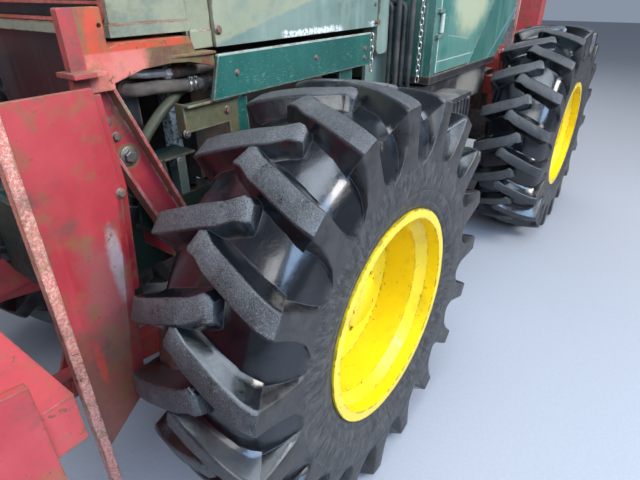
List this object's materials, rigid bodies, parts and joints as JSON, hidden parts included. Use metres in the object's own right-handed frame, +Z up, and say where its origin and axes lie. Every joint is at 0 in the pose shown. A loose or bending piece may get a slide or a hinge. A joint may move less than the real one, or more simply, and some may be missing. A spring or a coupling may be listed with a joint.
{
  "type": "articulated forestry skidder",
  "caption": "Articulated forestry skidder on lugged tyres, with a front blade, hood, cab, winch, rear arch and butt plate.",
  "frame": {"origin": "on the ground below the middle of the machine's length and width", "axes": "+X forwards, +Y to the machine's left, +Z up"},
  "size_m": [5.31, 2.372, 2.855],
  "materials": {
    "frame_green": "worn dark green paint",
    "cast_grey": "dusty dark casting",
    "engine_grey": "oily casting",
    "black_steel": "worn black paint",
    "faded_green": "chalked grey-green paint",
    "red_paint": "scuffed faded red paint with rust",
    "panel_green": "scratched dark green paint",
    "rod_chrome": "polished",
    "cab_green": "faded green paint",
    "door_green": "faded green paint",
    "glass": "clear",
    "seat_fabric": "woven cover",
    "black_plastic": "dusty",
    "rusty_steel": "rusted",
    "rubber_hose": "matt rubber",
    "chain_steel": "dull zinc",
    "mesh_salmon": "faded red paint",
    "tyre": "dressed black rubber with scuffed lug tops",
    "rim_yellow": "gloss yellow paint with chips"
  },
  "bodies": {
    "front": {"front_frame": "frame_green", "front_axle": "cast_grey", "engine_block": "engine_grey", "radiator": "black_steel", "front_cowl": "faded_green", "grille": "red_paint", "rear_cowl": "faded_green", "lower_panels": "panel_green", "front_guard": "red_paint", "brace_channels": "red_paint", "cab_floor": "black_steel", "cab_front": "cab_green", "cab_rear": "cab_green", "cab_sides": "cab_green", "cab_roof": "cab_green", "cab_glass": "glass", "seat_base": "black_steel", "seat_cushions": "seat_fabric", "steering_console": "black_plastic", "steps": "black_steel", "side_tanks": "black_plastic", "exhaust": "rusty_steel", "hoses": "rubber_hose", "chains": "chain_steel", "work_lamps": "black_plastic", "drive_line": "cast_grey"},
    "hood": {"hood": "faded_green"},
    "blade": {"blade": "red_paint", "blade_arms": "red_paint"},
    "blade_barrels": {"blade_barrels": "black_steel"},
    "blade_rods": {"blade_rods": "rod_chrome"},
    "steer_barrel_left": {"steer_barrel_left": "black_steel"},
    "steer_barrel_right": {"steer_barrel_right": "black_steel"},
    "steer_rod_left": {"steer_rod_left": "rod_chrome"},
    "steer_rod_right": {"steer_rod_right": "rod_chrome"},
    "door_left": {"door_left": "door_green", "door_glass_left": "glass"},
    "door_right": {"door_right": "door_green", "door_glass_right": "glass"},
    "rear": {"rear_frame": "frame_green", "rear_axle": "cast_grey", "winch": "frame_green", "arch": "red_paint", "arch_mesh": "mesh_salmon"},
    "winch_drum_left": {"winch_drum_left": "rusty_steel"},
    "winch_drum_right": {"winch_drum_right": "rusty_steel"},
    "fairlead_roller": {"fairlead_roller": "rusty_steel"},
    "butt_plate": {"butt_plate": "red_paint"},
    "butt_barrels": {"butt_barrels": "black_steel"},
    "butt_rods": {"butt_rods": "rod_chrome"},
    "wheel_front_left": {"tyre_front_left": "tyre", "rim_front_left": "rim_yellow"},
    "wheel_front_right": {"tyre_front_right": "tyre", "rim_front_right": "rim_yellow"},
    "wheel_rear_left": {"tyre_rear_left": "tyre", "rim_rear_left": "rim_yellow"},
    "wheel_rear_right": {"tyre_rear_right": "tyre", "rim_rear_right": "rim_yellow"}
  },
  "joints": [
    {"name": "articulation", "type": "hinge", "parent": "front", "child": "rear", "pos_m": [-0.07, 0, 0.87], "axis": [0, 0, 1], "range_deg": [-40, 40]},
    {"name": "wheel_front_left_spin", "type": "hinge", "parent": "front", "child": "wheel_front_left", "pos_m": [1.365, 0.935, 0.795], "axis": [0, 1, 0], "continuous": true},
    {"name": "wheel_front_right_spin", "type": "hinge", "parent": "front", "child": "wheel_front_right", "pos_m": [1.365, -0.935, 0.795], "axis": [0, 1, 0], "continuous": true},
    {"name": "wheel_rear_left_spin", "type": "hinge", "parent": "rear", "child": "wheel_rear_left", "pos_m": [-1.505, 0.935, 0.795], "axis": [0, 1, 0], "continuous": true},
    {"name": "wheel_rear_right_spin", "type": "hinge", "parent": "rear", "child": "wheel_rear_right", "pos_m": [-1.505, -0.935, 0.795], "axis": [0, 1, 0], "continuous": true},
    {"name": "hood_tilt", "type": "hinge", "parent": "front", "child": "hood", "pos_m": [1.498, 0, 1.974], "axis": [0, 1, 0], "range_deg": [0, 60]},
    {"name": "door_left_swing", "type": "hinge", "parent": "front", "child": "door_left", "pos_m": [0.148, 0.712, 2], "axis": [0, 0, -1], "range_deg": [0, 85]},
    {"name": "door_right_swing", "type": "hinge", "parent": "front", "child": "door_right", "pos_m": [0.148, -0.712, 2], "axis": [0, 0, 1], "range_deg": [0, 85]},
    {"name": "blade_lift", "type": "hinge", "parent": "front", "child": "blade", "pos_m": [1.165, 0, 0.56], "axis": [0, 1, 0], "range_deg": [0, 23.5]},
    {"name": "blade_barrel_tilt", "type": "hinge", "parent": "front", "child": "blade_barrels", "pos_m": [1.835, 0, 1.3], "axis": [0, 1, 0], "range_deg": [0, 10.5]},
    {"name": "blade_rod_slide", "type": "slide", "parent": "blade_barrels", "child": "blade_rods", "axis": [0.4697, 0, -0.8828], "range_m": [0, 0.372]},
    {"name": "steer_barrel_left_swing", "type": "hinge", "parent": "front", "child": "steer_barrel_left", "pos_m": [0.55, 0.215, 0.9], "axis": [0, 0, 1], "range_deg": [-7, 7]},
    {"name": "steer_rod_left_slide", "type": "slide", "parent": "steer_barrel_left", "child": "steer_rod_left", "axis": [-0.9997, -0.026, 0], "range_m": [-0.1345, 0.1345]},
    {"name": "steer_barrel_right_swing", "type": "hinge", "parent": "front", "child": "steer_barrel_right", "pos_m": [0.55, -0.215, 0.9], "axis": [0, 0, 1], "range_deg": [-7, 7]},
    {"name": "steer_rod_right_slide", "type": "slide", "parent": "steer_barrel_right", "child": "steer_rod_right", "axis": [-0.9997, 0.026, 0], "range_m": [-0.1345, 0.1345]},
    {"name": "winch_drum_left_spin", "type": "hinge", "parent": "rear", "child": "winch_drum_left", "pos_m": [-1.515, 0.17, 1.42], "axis": [0, 1, 0], "continuous": true},
    {"name": "winch_drum_right_spin", "type": "hinge", "parent": "rear", "child": "winch_drum_right", "pos_m": [-1.515, -0.17, 1.42], "axis": [0, 1, 0], "continuous": true},
    {"name": "fairlead_roller_spin", "type": "hinge", "parent": "rear", "child": "fairlead_roller", "pos_m": [-2.215, 0, 2.015], "axis": [0, 1, 0], "continuous": true},
    {"name": "butt_lift", "type": "hinge", "parent": "rear", "child": "butt_plate", "pos_m": [-1.835, 0, 0.64], "axis": [0, 1, 0], "range_deg": [-29, 4]},
    {"name": "butt_barrel_tilt", "type": "hinge", "parent": "rear", "child": "butt_barrels", "pos_m": [-2.145, 0, 1.29], "axis": [0, 1, 0], "range_deg": [-8.2, 1.3]},
    {"name": "butt_rod_slide", "type": "slide", "parent": "butt_barrels", "child": "butt_rods", "axis": [-0.4249, 0, -0.9052], "range_m": [-0.045, 0.275]}
  ],
  "couplings": [
    {"joint": "blade_barrel_tilt", "follows": "blade_lift", "ratio": 0.441},
    {"joint": "blade_rod_slide", "follows": "blade_lift", "m_per_rad": 0.9041},
    {"joint": "steer_barrel_left_swing", "follows": "articulation", "ratio": 0.17},
    {"joint": "steer_rod_left_slide", "follows": "articulation", "m_per_rad": 0.19},
    {"joint": "steer_barrel_right_swing", "follows": "articulation", "ratio": 0.17},
    {"joint": "steer_rod_right_slide", "follows": "articulation", "m_per_rad": -0.19},
    {"joint": "butt_barrel_tilt", "follows": "butt_lift", "ratio": 0.2717},
    {"joint": "butt_rod_slide", "follows": "butt_lift", "m_per_rad": -0.5275}
  ]
}
